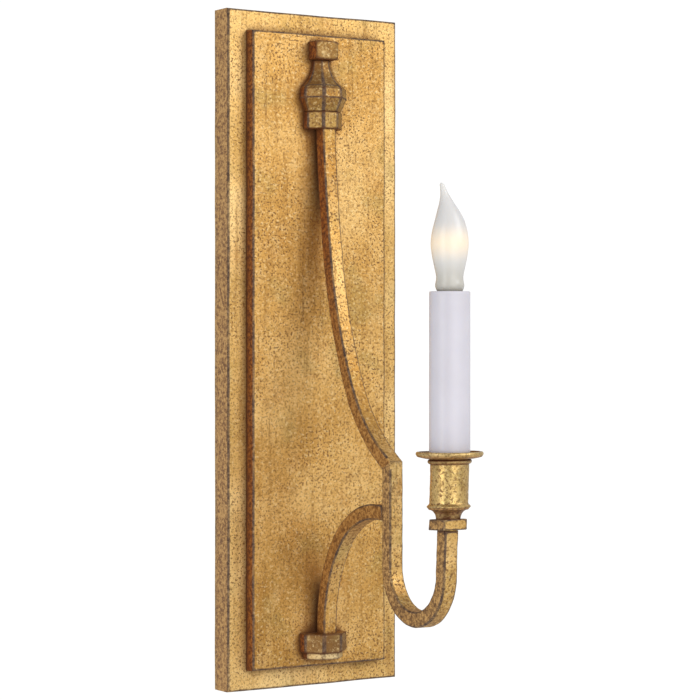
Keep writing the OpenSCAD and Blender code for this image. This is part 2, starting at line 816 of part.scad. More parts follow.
module glass_solid(inset, rows) {
  n = glass_sides;
  points = [
    for (i = [0:rows - 1]) for (k = [0:n - 1]) let (p = glass_curve[i], a = 360 * k / n)
      [(p[1] - inset) * cos(a), (p[1] - inset) * sin(a), p[0]] + lean(p[0]) * lean_dir
  ];
  faces = concat(
    [[for (k = [0:n - 1]) k]],
    [
      for (i = [0:rows - 2]) for (k = [0:n - 1]) let (q = (k + 1) % n)
        [i * n + k, (i + 1) * n + k, i * n + q]
    ],
    [
      for (i = [0:rows - 2]) for (k = [0:n - 1]) let (q = (k + 1) % n)
        [i * n + q, (i + 1) * n + k, (i + 1) * n + q]
    ],
    [[for (k = [n - 1:-1:0]) (rows - 1) * n + k]]
  );
  polyhedron(points, faces);
}

module bulb_glass() {
  rows = len(glass_curve);
  color([0.90, 0.88, 0.84, 0.6]) candle_axis() difference() {
    glass_solid(0, rows);
    glass_solid(glass_wall, rows - 7);
  }
}

module bulb_stem() {
  color([0.85, 0.9, 0.9]) candle_axis() union() {
    translate([0, 0, 33.2]) cylinder(r = 4.5, h = 1);
    translate([0, 0, 24]) cylinder(r = 3.2, h = 12);
    translate([0, 0, 36]) cylinder(r1 = 3.2, r2 = 1.4, h = 8);
    translate([-2.6, -0.8, 43]) cube([5.2, 1.6, 6]);
  }
}

filament_z = 66;
filament_half = 5.5;

module bulb_supports() {
  color(STEEL) candle_axis() for (s = [-1, 1])
    wire([[s * 2, 0, 49.2], [s * filament_half, 0, filament_z]], 0.3);
}

module bulb_filament() {
  color([0.4, 0.35, 0.3]) candle_axis() translate([0, 0, filament_z + 0.4]) rotate([90, 0, 0])
    rotate_extrude(angle = 180) translate([filament_half - 0.2, 0]) circle(r = 0.35);
}

base_z = 17.5;
base_turns = 6;

module bulb_base_shell() {
  color(BRASS) candle_axis() union() {
    screw_shell(5.4, 5.85, 0.4, base_z, base_turns);
    translate([0, 0, base_z + base_turns * pitch]) difference() {
      cylinder(r = 5.9, h = 1.5);
      translate([0, 0, -1]) cylinder(r = 5.05, h = 4);
      translate([0, 0, 0.2]) cylinder(r = 5.45, h = 4);
    }
  }
}

module bulb_insulator() {
  color([0.1, 0.1, 0.1]) candle_axis() difference() {
    union() {
      translate([0, 0, 15.4]) cylinder(r1 = 3, r2 = 4.9, h = 2.1);
      translate([0, 0, base_z]) cylinder(r = 4.9, h = 1.5);
    }
    translate([0, 0, 15]) cylinder(r = 1.1, h = 5);
  }
}

module bulb_tip_contact() {
  color(STEEL) candle_axis() union() {
    translate([0, 0, 14.5]) cylinder(r1 = 1.6, r2 = 2.3, h = 0.8);
    translate([0, 0, 15.2]) cylinder(r = 1.05, h = 3);
  }
}

wall_strap();
cross_strap();
strap_rivets();
hanging_screws();
hanging_locknuts();
box_ground_screw();
back_pan();
raised_panel();
hanger_plate();
finial_cap();
finial_body();
finial_collar();
finial_screws();
upper_arm();
hook_arm();
lower_brace();
foot_block();
foot_step();
foot_screws();
cup_collar();
candle_cup();
bobeche();
threaded_nipple();
lock_washer();
nipple_locknut();
socket_hickey();
hickey_screw();
socket_body();
socket_liner();
socket_shell();
socket_contact();
terminal_rivets();
lead_hot();
lead_neutral();
wire_bushing();
wire_connectors();
ground_screw();
ground_wire();
candle_sleeve();
bulb_glass();
bulb_stem();
bulb_filament();
bulb_supports();
bulb_base_shell();
bulb_insulator();
bulb_tip_contact();
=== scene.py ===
import json
import math

import bpy
import numpy as np
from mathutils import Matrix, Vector, noise


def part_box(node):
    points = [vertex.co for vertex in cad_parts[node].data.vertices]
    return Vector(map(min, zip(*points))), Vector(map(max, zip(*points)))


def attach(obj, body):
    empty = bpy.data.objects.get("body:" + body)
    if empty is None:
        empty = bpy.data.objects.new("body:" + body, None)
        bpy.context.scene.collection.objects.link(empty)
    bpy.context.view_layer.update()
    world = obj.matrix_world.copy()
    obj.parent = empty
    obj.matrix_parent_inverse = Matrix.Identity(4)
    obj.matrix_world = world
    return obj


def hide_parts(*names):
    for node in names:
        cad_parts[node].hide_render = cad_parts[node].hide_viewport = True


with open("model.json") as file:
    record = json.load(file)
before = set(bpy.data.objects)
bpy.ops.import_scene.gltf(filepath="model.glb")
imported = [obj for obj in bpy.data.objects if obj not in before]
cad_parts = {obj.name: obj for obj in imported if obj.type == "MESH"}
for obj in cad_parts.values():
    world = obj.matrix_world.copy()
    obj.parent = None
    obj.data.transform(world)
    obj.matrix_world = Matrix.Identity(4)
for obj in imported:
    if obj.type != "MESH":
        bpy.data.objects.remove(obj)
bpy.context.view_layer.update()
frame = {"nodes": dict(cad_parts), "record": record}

MM = 0.001
NODES = frame["nodes"]


# ---- Measures from the CAD, in millimetres
# A point is (out, z): its distance from the wall and its height.

def box_mm(node):
    low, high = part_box(node)
    return [v / MM for v in low], [v / MM for v in high]


PAN_LOW, PAN_HIGH = box_mm("back_pan")
PANEL_LOW, PANEL_HIGH = box_mm("raised_panel")
COLLAR_LOW, COLLAR_HIGH = box_mm("cup_collar")
SLEEVE_LOW, SLEEVE_HIGH = box_mm("candle_sleeve")
PANEL_OUT = -PANEL_LOW[1]
PLATE_OUT = -PAN_LOW[1]
CANDLE_OUT = -(SLEEVE_LOW[1] + SLEEVE_HIGH[1]) / 2
BAR_TRIM = 0.03        # the visual bar starts a hair inside the CAD's box
BAR = box_mm("upper_arm")[1][0] * 2 - BAR_TRIM

# The arm's route, as in the CAD model: slopes from the vertical and the radii of the arcs between them.
ARM_SLOPES = (3.3, 9.5, 25.4, 57.0)
ARM_RADII = (853.0, 312.0, 112.0)
ARM_START = (33.5, 150.0)
ARM_TAIL = 10.6
LEG_OUT = 116.2
HOOK_Z = -139.5
HOOK_R = 30.75
RISER_LEAN = 3.0
BRACE_OUT = 34.6
BRACE_RADII = (95.0, 60.0)
BRACE_TURN = 38.0
BRACE_Z = -104.9


def along(h):
    """The way a heading points: 0 is down, 90 is out from the wall, 180 is up."""
    a = math.radians(h)
    return np.array([math.sin(a), -math.cos(a)])


def across(h):
    """The direction at right angles to a heading."""
    a = math.radians(h)
    return np.array([math.cos(a), math.sin(a)])


# ---- Mesh helpers

SEED_STEP = (7.31, -3.17, 1.73)      # how far a seed of 1 moves the noise along each axis


def bumps(p, size, seed=0.0):
    """Smooth noise from about -1 to 1. The point and the size of its features are in millimetres."""
    return noise.noise(Vector([c / size + seed * step for c, step in zip(p, SEED_STEP)]))


def convexity(mesh):
    """How far each vertex stands out from its neighbours, from -1 to 1."""
    n = len(mesh.vertices)
    co = np.empty(n * 3, dtype=np.float32)
    no = np.empty(n * 3, dtype=np.float32)
    mesh.vertices.foreach_get("co", co)
    mesh.vertex_normals.foreach_get("vector", no)
    co = co.reshape(n, 3)
    no = no.reshape(n, 3)
    ends = np.empty(len(mesh.edges) * 2, dtype=np.int32)
    mesh.edges.foreach_get("vertices", ends)
    ends = ends.reshape(-1, 2)
    value = np.zeros(n)
    count = np.zeros(n)
    for a, b in ((0, 1), (1, 0)):
        i, j = ends[:, a], ends[:, b]
        d = co[i] - co[j]
        d /= np.linalg.norm(d, axis=1)[:, None] + 1e-12
        np.add.at(value, i, (d * no[i]).sum(axis=1))
        np.add.at(count, i, 1)
    value /= np.maximum(count, 1)
    total = np.zeros(n)
    for a, b in ((0, 1), (1, 0)):
        np.add.at(total, ends[:, a], value[ends[:, b]])
    return 0.5 * value + 0.5 * total / np.maximum(count, 1)


WEAR_GAIN = 4        # how strongly convexity turns into wear on edges and dirt in crevices


def link(obj):
    bpy.context.scene.collection.objects.link(obj)


def build(name, points, faces, material, body, replaces, smooth_angle=50):
    """Makes a piece from points in millimetres, with 'edge' and 'crevice' attributes for the wear."""
    mesh = bpy.data.meshes.new(name)
    mesh.from_pydata([Vector(p) * MM for p in points], [], faces)
    mesh.validate()
    mesh.update()
    obj = bpy.data.objects.new(name, mesh)
    link(obj)
    mesh.shade_smooth()
    if smooth_angle:
        mesh.set_sharp_from_angle(angle=math.radians(smooth_angle))
    stands_out = convexity(mesh)
    for key, sign in (("edge", 1), ("crevice", -1)):
        layer = mesh.attributes.new(key, "FLOAT", "POINT")
        wear = np.clip(sign * stands_out * WEAR_GAIN, 0, 1)
        layer.data.foreach_set("value", wear.astype(np.float32))
    mesh.materials.append(material)
    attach(obj, body)
    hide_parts(*replaces)
    return obj


def loft(rows, loop=False):
    """Points and faces of a skin over closed rows of points.

    A loop joins its last row to its first. Otherwise both ends are closed.
    """
    n = len(rows[0])
    points = [p for row in rows for p in row]
    faces = []
    spans = len(rows) if loop else len(rows) - 1
    for i in range(spans):
        a, b = i * n, ((i + 1) % len(rows)) * n
        for k in range(n):
            q = (k + 1) % n
            faces.append((a + k, a + q, b + q, b + k))
    if not loop:
        for start, flip in ((0, True), ((len(rows) - 1) * n, False)):
            middle = len(points)
            points.append(tuple(np.mean(points[start:start + n], axis=0)))
            for k in range(n):
                q = (k + 1) % n
                tri = (start + k, start + q, middle)
                faces.append(tri[::-1] if flip else tri)
    return points, faces


def rounded(corners, radius, side=5, arc=4):
    """A closed 2-D outline with rounded corners. Every side and corner has the same count of points."""
    out = []
    count = len(corners)
    corners = [np.array(c, dtype=float) for c in corners]
    cut = []
    for i in range(count):
        p, a, b = corners[i], corners[i - 1], corners[(i + 1) % count]
        u = (a - p) / np.linalg.norm(a - p)
        v = (b - p) / np.linalg.norm(b - p)
        half = math.acos(max(-1, min(1, float(u @ v)))) / 2
        back = radius / math.tan(half)
        middle = p + (u + v) / np.linalg.norm(u + v) * radius / math.sin(half)
        cut.append((p + u * back, p + v * back, middle))
    for i in range(count):
        start, end, middle = cut[i]
        a0 = math.atan2(*(start - middle)[::-1])
        a1 = math.atan2(*(end - middle)[::-1])
        turn = (a1 - a0 + math.pi) % (2 * math.pi) - math.pi
        for k in range(arc + 1):
            t = a0 + turn * k / arc
            out.append(middle + radius * np.array([math.cos(t), math.sin(t)]))
        following = cut[(i + 1) % count][0]
        for k in range(1, side):
            out.append(end + (following - end) * k / side)
    return out


PATH_STEP = 1.5


def path_points(start, heading, pieces):
    """Points and headings along a path of straight runs and arcs.

    A run is ("run", length) and an arc is ("arc", radius, heading after it).
    """
    p = np.array(start, dtype=float)
    h = heading
    out = [(p.copy(), h)]
    for kind, size, *rest in pieces:
        if kind == "run":
            n = max(1, round(size / PATH_STEP))
            for i in range(1, n + 1):
                out.append((p + along(h) * size * i / n, h))
            p = p + along(h) * size
        else:
            to = rest[0]
            way = 1 if to > h else -1
            n = max(2, round(size * math.radians(abs(to - h)) / PATH_STEP))
            for i in range(1, n + 1):
                g = h + (to - h) * i / n
                out.append((p + way * size * (across(h) - across(g)), g))
            p = p + way * size * (across(h) - across(to))
            h = to
    return out


BAR_CORNER_R = 1.35
MITRE_WEAR = 0.1             # the share of edge wear that is left beside a mitre
MITRE_WEAR_FRONT = 0.3       # the same on the face that looks away from the wall


def square(half):
    return [(-half, -half), (half, -half), (half, half), (-half, half)]


def forged_bar(name, path, material, replaces, seed, ends=(None, None)):
    """A hand-forged square bar along a path.

    ends are planes (point, normal) that its end rows are moved onto, or None for a plain end.
    """
    half = BAR / 2
    outline = rounded(square(half), BAR_CORNER_R, side=6, arc=4)
    rows = []
    for p, h in path:
        row = []
        for u, v in outline:
            centre = (u * 0.5, -p[0], p[1])
            grow = 1 + 0.022 * bumps(centre, 14, seed) + 0.012 * bumps(centre, 5, seed + 2)
            w = across(h) * v * grow
            q = (u * grow, -(p[0] + w[0]), p[1] + w[1])
            dent = 0.16 * bumps(q, 6, seed + 4) + 0.07 * bumps(q, 2.6, seed + 5)
            length = math.hypot(u, v)
            w = across(h) * (v * grow + dent * v / length)
            row.append((u * grow + dent * u / length, -(p[0] + w[0]), p[1] + w[1]))
        rows.append(row)
    for end, row_index in ((ends[0], 0), (ends[1], -1)):
        if end is None:
            continue
        point, normal = end
        n = np.array([0, -normal[0], normal[1]])
        centre = np.array([0, -point[0], point[1]])
        heading = path[row_index][1]
        d = np.array([0, -along(heading)[0], along(heading)[1]])
        rows[row_index] = [
            tuple(np.array(q) + d * ((centre - q) @ n) / (d @ n)) for q in rows[row_index]
        ]
    points, faces = loft(rows)
    bar = build(name, points, faces, material, "fixture", replaces)
    edge = bar.data.attributes["edge"].data
    n = len(outline)
    for end, first in ((ends[0], 0), (ends[1], len(rows) - 2)):
        if end is not None:
            for i in range(first * n, (first + 2) * n):
                in_front = outline[i % n][1] > half * 0.9
                edge[i].value *= MITRE_WEAR_FRONT if in_front else MITRE_WEAR
    return bar


# ---- Materials

def rgb(code):
    """A linear colour from a six-digit code in sRGB."""
    out = []
    for i in (0, 2, 4):
        c = int(code[i:i + 2], 16) / 255
        out.append(c / 12.92 if c <= 0.04045 else ((c + 0.055) / 1.055) ** 2.4)
    return (*out, 1.0)


class Shade:
    """A material and short ways to add its nodes."""

    def __init__(self, name):
        self.material = bpy.data.materials.new(name)
        self.material.use_nodes = True
        self.tree = self.material.node_tree
        self.tree.nodes.clear()
        self.at = self.add("TexCoord").outputs["Object"]

    def add(self, kind, inputs=None, **props):
        n = self.tree.nodes.new("ShaderNode" + kind)
        for key, value in props.items():
            setattr(n, key, value)
        for key, value in (inputs or {}).items():
            self.set(n.inputs[key], value)
        return n

    def set(self, socket, value):
        if isinstance(value, bpy.types.NodeSocket):
            self.tree.links.new(value, socket)
        else:
            socket.default_value = value

    def math(self, operation, a, b=0.0, clamp=False):
        n = self.add("Math", operation=operation, use_clamp=clamp)
        self.set(n.inputs[0], a)
        self.set(n.inputs[1], b)
        return n.outputs[0]

    def times(self, a, b):
        return self.math("MULTIPLY", a, b, True)

    def most(self, a, b):
        return self.math("MAXIMUM", a, b, True)

    def spread(self, value, low, high, to_low=0.0, to_high=1.0):
        """Eases a value from one range to another. low may be above high."""
        ranges = {"Value": value, "From Min": low, "From Max": high, "To Min": to_low, "To Max": to_high}
        return self.add("MapRange", ranges, clamp=True, interpolation_type="SMOOTHSTEP").outputs[0]

    def mix(self, factor, a, b, blend="MIX"):
        n = self.add("Mix", data_type="RGBA", blend_type=blend)
        self.set(n.inputs[0], factor)
        self.set(n.inputs[6], a)
        self.set(n.inputs[7], b)
        return n.outputs[2]

    def noise(self, size, detail=3.0, rough=0.55, stretch=(1, 1, 1), shift=0.0):
        """Noise with features of about that size in millimetres."""
        place = {"Vector": self.at, "Location": (shift, shift * 0.7, -shift), "Scale": stretch}
        where = self.add("Mapping", place).outputs[0]
        look = {"Vector": where, "Scale": 500 / size, "Detail": detail, "Roughness": rough}
        return self.add("TexNoise", look).outputs["Fac"]

    def ramp(self, factor, positions, tones):
        n = self.add("ValToRGB", {"Fac": factor})
        while len(n.color_ramp.elements) < len(tones):
            n.color_ramp.elements.new(0.5)
        for element, at, code in zip(n.color_ramp.elements, positions, tones):
            element.position = at
            element.color = rgb(code)
        return n.outputs["Color"]

    def attribute(self, name):
        return self.add("Attribute", attribute_name=name).outputs["Fac"]

    def bump(self, height, strength, distance, under=None):
        inputs = {"Height": height, "Strength": strength, "Distance": distance}
        if under is not None:
            inputs["Normal"] = under
        return self.add("Bump", inputs).outputs["Normal"]

    def finish(self, **inputs):
        b = self.add("BsdfPrincipled", {key.replace("_", " "): value for key, value in inputs.items()})
        out = self.add("OutputMaterial")
        self.tree.links.new(b.outputs[0], out.inputs["Surface"])
        return self.material


# Tones of the faces that look sideways and down, dark to light: part rust, part painted shade
RUST_AND_SHADE = ("4E210B", "7E3E12", "A2621F")
BRONZE = ("6E4218", "9C6A2E", "BE8A48")
BROWN = ("7A563A", "AE8250", "CFA468")
UMBER = ("6A4A2E", "9E7646", "CCA062")

# Tones over the gold leaf
PALE_LEAF = "E4C284"
BROWN_LEAF = "9A6C34"
PALE_STREAK = "DDB777"
DARK_STREAK = "94682E"
SCRATCH = "7A5226"
OLIVE = "A38D50"
COPPERY = "AA6A28"
PALE_GRAIN = "F0D59C"
DARK_GRAIN = "80582A"
PIT = "6E4822"
DIRT_AND_SHADE_TONE = "5A300F"
WORN_IRON = ("3E2E28", "5C483C", "8A7058")
LEAF_GOLD = ("BE8E46", "D0A158", "E2B872")

USUAL_WARMTH = 0.32
SCRATCH_TURNS = ((0.7, 11.3), (-0.8, 15.9))        # the turn of each set of scratches, and its seed
CREVICE_REACH, SHADOW_REACH = 0.009, 0.022          # metres within which a neighbour darkens a face: painted shade joined to the crevice dirt, then a wider painted contact shadow


def gold_leaf(s, shift, gold, streaks, warmth, mottle, grain, fine):
    """Leaf in three golds under streaks, scratches, patches and pits. Gives its colour and its pits."""
    blotch = s.noise(34, 3, 0.55, shift=shift)
    leaf = s.ramp(blotch, (0.34, 0.5, 0.66), gold)
    leaf = s.mix(s.spread(mottle, 0.5, 0.7, 0, 0.4), leaf, rgb(PALE_LEAF))
    leaf = s.mix(s.spread(mottle, 0.47, 0.3, 0, 0.3), leaf, rgb(BROWN_LEAF))
    if streaks:
        streak = s.noise(2.4, 3, 0.5, (1, 1, 0.06), shift + 5.2)
        leaf = s.mix(s.spread(streak, 0.52, 0.72, 0, streaks), leaf, rgb(DARK_STREAK))
        leaf = s.mix(s.spread(streak, 0.48, 0.3, 0, streaks * 0.7), leaf, rgb(PALE_STREAK))
    for turn, seed in SCRATCH_TURNS:
        way = s.add("Mapping", {"Vector": s.at, "Rotation": (0, turn, 0), "Scale": (1, 1, 0.035)})
        look = {"Vector": way.outputs[0], "Scale": 330, "Detail": 1.0, "Roughness": 0.4}
        lines = s.spread(s.add("TexNoise", look).outputs["Fac"], 0.64, 0.70, 0, 0.5)
        patch = s.spread(s.noise(45, 2, 0.5, shift=shift + seed), 0.54, 0.66)
        leaf = s.mix(s.times(lines, patch), leaf, rgb(SCRATCH))
    olive = s.spread(s.noise(13, 3, 0.5, shift=shift + 6.1), 0.53, 0.72, 0, 0.4)
    leaf = s.mix(olive, leaf, rgb(OLIVE))
    warm_from = 0.58 - (warmth - USUAL_WARMTH) * 0.2
    warm = s.spread(s.noise(19, 4, 0.6, shift=shift + 7.4), warm_from, 0.74, 0, warmth)
    leaf = s.mix(warm, leaf, rgb(COPPERY))
    leaf = s.mix(s.spread(grain, 0.53, 0.68, 0, 0.6), leaf, rgb(PALE_GRAIN))
    leaf = s.mix(s.spread(grain, 0.47, 0.34, 0, 0.6), leaf, rgb(DARK_GRAIN))
    crowd = s.spread(s.noise(24, 3, 0.6, shift=shift + 8.8), 0.38, 0.62, 0.5, 0.95)
    pits = s.times(s.spread(fine, 0.53, 0.63, 0, 0.9), crowd)
    return s.mix(pits, leaf, rgb(PIT)), pits


def gilt(
    name, shift, side, gold=LEAF_GOLD, streaks=0.0, side_dark=1.0, glitter=0.0, worn=1.0, relief=1.0,
    contact_shadow_strength=0.6, warmth=USUAL_WARMTH, under=(0.5, 0.9), fade=None, contact_shadow_tone="A06424",
):
    """Gold leaf rubbed over rusty iron: pitted gold in front, side tones on faces that look sideways, part
    rust and part painted shade, and the same tones as painted shade on faces that look down.

    shift moves every noise. side and gold are three tones each, dark to light. under is the range over
    which a face counts as looking down and takes the painted shade. fade gives the heights in metres
    between which the side tones turn to bronze. The other numbers are strengths.
    """
    s = Shade(name)
    facing = s.add("SeparateXYZ", {"Vector": s.add("TexCoord").outputs["Normal"]})
    sideways = s.math("ABSOLUTE", facing.outputs[0])
    down = s.math("MULTIPLY", facing.outputs[2], -1.0)
    mottle = s.noise(6, 4, 0.6, shift=shift + 1.3)
    grain = s.noise(1.0, 4, 0.7, shift=shift + 2.1)
    fine = s.noise(0.75, 2, 0.5, shift=shift + 3.7)
    leaf, pits = gold_leaf(s, shift, gold, streaks, warmth, mottle, grain, fine)

    base = s.ramp(grain, (0.4, 0.5, 0.6), side)
    if fade:
        height = s.add("SeparateXYZ", {"Vector": s.at}).outputs[2]
        lighter = s.ramp(grain, (0.4, 0.5, 0.6), BRONZE)
        base = s.mix(s.spread(height, *fade), base, lighter)
    # Painted shade and rust: faces turned sideways take the side tones, which stand for both rust and
    # shade; faces looking down take them as painted shade.
    ragged = s.math("MULTIPLY", s.math("SUBTRACT", mottle, 0.5), 0.3)
    beside = s.spread(s.math("ADD", sideways, ragged), 0.72, 0.95, 0, 0.92 * side_dark)
    shade = s.most(beside, s.spread(down, *under, 0, 0.75))

    rubbed = s.spread(mottle, 0.34, 0.56, 0.55 * worn, 0.95 * worn)
    edge = s.times(s.spread(s.attribute("edge"), 0.16, 0.38), rubbed)
    hidden = s.add("AmbientOcclusion", {"Distance": CREVICE_REACH}, samples=6).outputs["AO"]
    near = s.add("AmbientOcclusion", {"Distance": SHADOW_REACH}, samples=6).outputs["AO"]
    # Painted contact shadow: faces near other parts, as ambient occlusion finds them, take the shadow tone.
    contact_shadow = s.spread(near, 0.86, 0.45, 0, contact_shadow_strength)
    # Crevices: dirt caked in concave places, and painted shade where ambient occlusion finds other parts
    # close by.
    caked = s.spread(s.attribute("crevice"), 0.15, 0.6, 0, 0.8)
    crevice = s.most(caked, s.spread(hidden, 0.88, 0.4, 0, 0.9))

    colour = s.mix(contact_shadow, leaf, rgb(contact_shadow_tone))
    colour = s.mix(shade, colour, base)
    colour = s.mix(edge, colour, s.ramp(grain, (0.36, 0.52, 0.7), WORN_IRON))
    colour = s.mix(crevice, colour, rgb(DIRT_AND_SHADE_TONE))
    dull = s.most(s.times(shade, 0.85), s.times(pits, 0.8))
    dull = s.most(dull, s.most(s.times(edge, 0.7), crevice))
    rough = s.spread(mottle, 0.3, 0.7, 0.46 - glitter, 0.58 - glitter * 0.5)
    rough = s.math("ADD", rough, s.math("MULTIPLY", dull, 0.2))
    normal = s.bump(s.math("SUBTRACT", 1.0, fine), 0.35, 0.0002)
    normal = s.bump(grain, 0.4, 0.0004, normal)
    normal = s.bump(mottle, 0.2 * relief, 0.0008, normal)
    shine = s.math("SUBTRACT", 0.85, s.math("MULTIPLY", dull, 0.55))
    return s.finish(Base_Color=colour, Metallic=shine, Roughness=rough, Normal=normal)


def plain(name, colour, metallic, rough, second, size, wear=0.35, brushed=(1, 1, 1)):
    """A hardware material: two tones in soft patches, fine grain in its roughness, and a slight bump."""
    s = Shade(name)
    patch = s.noise(size * 4, 4, 0.6)
    grain = s.noise(size * 0.4, 4, 0.6, brushed, 2.2)
    tone = s.mix(s.spread(patch, 0.4, 0.65, 0, wear), rgb(colour), rgb(second))
    tone = s.mix(s.spread(grain, 0.5, 0.75, 0, wear * 0.8), tone, rgb(second))
    roughness = s.spread(grain, 0.25, 0.75, rough * 0.75, min(1, rough * 1.3))
    normal = s.bump(grain, 0.25, 0.0002)
    return s.finish(Base_Color=tone, Metallic=metallic, Roughness=roughness, Normal=normal)


GILT_BORDER = gilt(
    "gilt_border", 0.2, BROWN, ("CCA25A", "E0B66E", "F0CC8A"), streaks=0.45, relief=0.5, contact_shadow_strength=0.2,
)
GILT_PANEL = gilt("gilt_panel", 0.9, RUST_AND_SHADE, streaks=0.4, relief=0.5, contact_shadow_strength=0.75)
GILT_ARM = gilt("gilt_arm", 1.1, RUST_AND_SHADE, fade=(0.09, -0.05))
GILT_HOOK = gilt("gilt_hook", 1.9, UMBER, ("C09452", "DAB068", "EEC888"), warmth=0.7)
GILT_FORGED = gilt("gilt_forged", 2.4, RUST_AND_SHADE, ("8A6434", "A07C40", "BA9656"))
GILT_FOOT = gilt("gilt_foot", 2.9, RUST_AND_SHADE, ("74502C", "866238", "9E7846"))
GILT_STEP = gilt("gilt_step", 4.4, RUST_AND_SHADE, ("C8A468", "DCBC84", "EED8A8"), worn=0.5)
# On the cup and dish the side tones are mostly painted shade on the faces that look down, and the contact
# shadow is painted in a dark tone.
GILT_CUP = gilt(
    "gilt_cup", 3.2, ("5A3416", "8A5222", "B07A3C"), ("C8A260", "E0BE78", "F4D89C"),
    side_dark=0.2, glitter=0.26, worn=0.25, relief=0.45, contact_shadow_strength=1.0, under=(0.3, 0.65),
    contact_shadow_tone="6E3A14",
)
BARE_IRON = plain("bare_iron", "4A3F38", 0.6, 0.6, "6B4630", 4, 0.6)
STEEL = plain("zinc_steel", "A9ADB0", 0.9, 0.38, "7F8386", 3)
BRASS = plain("brass", "C9A052", 0.95, 0.3, "8E6A2C", 2)
CARRIED = {
    "zinc_steel": STEEL,
    "brass": BRASS,
    "green_screw": plain("green_screw", "1E7A38", 0.6, 0.35, "10421F", 1),
    "phenolic": plain("phenolic", "1B1715", 0.0, 0.45, "2B2421", 1.5),
    "fibre": plain("fibre", "9A7346", 0.0, 0.8, "7A5631", 1.2, 0.6, (1, 1, 0.2)),
    "black_wire": plain("black_wire", "141414", 0.0, 0.35, "262626", 1),
    "white_wire": plain("white_wire", "E4E2DC", 0.0, 0.35, "C6C2B8", 1),
    "green_wire": plain("green_wire", "1F7A34", 0.0, 0.35, "145224", 1),
    "bushing": plain("bushing", "171717", 0.0, 0.5, "2A2A2A", 1),
    "orange_cap": plain("orange_cap", "D9601A", 0.0, 0.4, "A84510", 1.5),
    "stem_glass": plain("stem_glass", "DCE4E4", 0.0, 0.15, "C8D2D2", 1),
    "filament": plain("filament", "6E6254", 0.8, 0.4, "4A4038", 0.5),
    "nickel": plain("nickel", "BDB8AE", 0.95, 0.22, "8F897E", 1),
    "base_black": plain("base_black", "0E0C10", 0.0, 0.2, "1C1820", 1),
    "tip_metal": plain("tip_metal", "A5A5A5", 0.9, 0.4, "808080", 0.8),
}


# ---- Back plate and raised panel: sheets with rounded edges, slightly uneven from the hammer

SHEET_WALL = 1.5
SHEET_SPACING = 3.0
OPEN_NOWHERE = 999       # deeper than any sheet is wide, so no face is left open


def sheet_piece(name, low, high, profile, depth, material, replaces, seed):
    """A dished rectangular sheet.

    profile lists (inset from the outline, out). Faces further in than depth are left open.
    """
    half = (high[0] - low[0]) / 2, (high[2] - low[2]) / 2
    insets = [d for d, _ in profile]
    last = insets[-1]

    def lines(h):
        n = max(2, round((2 * h - 2 * last) / SHEET_SPACING))
        inner = [-h + last + (2 * h - 2 * last) * i / n for i in range(1, n)]
        return [-h + d for d in insets] + inner + [h - d for d in reversed(insets)]

    xs, zs = lines(half[0]), lines(half[1])
    outs = [y for _, y in profile]
    points = []
    for z in zs:
        for x in xs:
            d = min(half[0] - abs(x), half[1] - abs(z))
            out = float(np.interp(d, insets, outs))
            q = (x, -out, z)
            edge = max(0.0, 1 - d / 6)
            wave = 0.35 * bumps((0, 0, z), 32, seed) * edge, 0.35 * bumps((x, 0, 0), 32, seed + 1) * edge
            rise = 0.22 * bumps(q, 26, seed + 2) + 0.12 * bumps(q, 9, seed + 3)
            rise += 0.05 * bumps(q, 3.2, seed + 4)
            rise *= min(1.0, out / 10) if d < 1 else 1.0
            points.append((x + wave[0] * 0.7, -out - rise, z + wave[1] * 0.7))
    n = len(xs)
    faces = []
    for j in range(len(zs) - 1):
        for i in range(n - 1):
            x, z = (xs[i] + xs[i + 1]) / 2, (zs[j] + zs[j + 1]) / 2
            if min(half[0] - abs(x), half[1] - abs(z)) > depth:
                continue
            faces.append((j * n + i, j * n + i + 1, (j + 1) * n + i + 1, (j + 1) * n + i))
    used = sorted({v for f in faces for v in f})
    place = {v: k for k, v in enumerate(used)}
    kept_points = [points[v] for v in used]
    kept_faces = [tuple(place[v] for v in f) for f in faces]
    obj = build(name, kept_points, kept_faces, material, "fixture", replaces)
    thick = obj.modifiers.new("wall", "SOLIDIFY")
    thick.thickness = SHEET_WALL * MM
    thick.offset = -1
    obj.data.materials.append(BARE_IRON)
    thick.material_offset = 1           # the inside shows the second material
    return obj


def wall_profile(out_from, out_to, lean, round_r, then):
    """(inset, out) pairs up a wall, round its edge and on to further insets."""
    pairs = [(lean * k / 4 + 0.01 * k, out_from + (out_to - round_r - out_from) * k / 4) for k in range(5)]
    base = pairs[-1][0]
    for k in range(1, 5):
        a = math.radians(90 * k / 4)
        pairs.append((base + round_r * (1 - math.cos(a)), out_to - round_r + round_r * math.sin(a)))
    return pairs + [(d, out_to) for d in then]


BORDER_WIDTH = 24
sheet_piece(
    "plate_border", PAN_LOW, PAN_HIGH,
    wall_profile(0, PLATE_OUT, 0.1, 1.6, [2.6, 4.5, 7, 9.5, 12, 13.2, 14, 15.5, 18, BORDER_WIDTH]),
    BORDER_WIDTH, GILT_BORDER, ["back_pan"], seed=1.0,
)
sheet_piece(
    "plate_panel", PANEL_LOW, PANEL_HIGH,
    wall_profile(PLATE_OUT, PANEL_OUT, 0.5, 1.5, [3, 4.5, 6.5, 9]),
    OPEN_NOWHERE, GILT_PANEL, ["raised_panel"], seed=3.0,
)


# ---- Arm, hook and brace

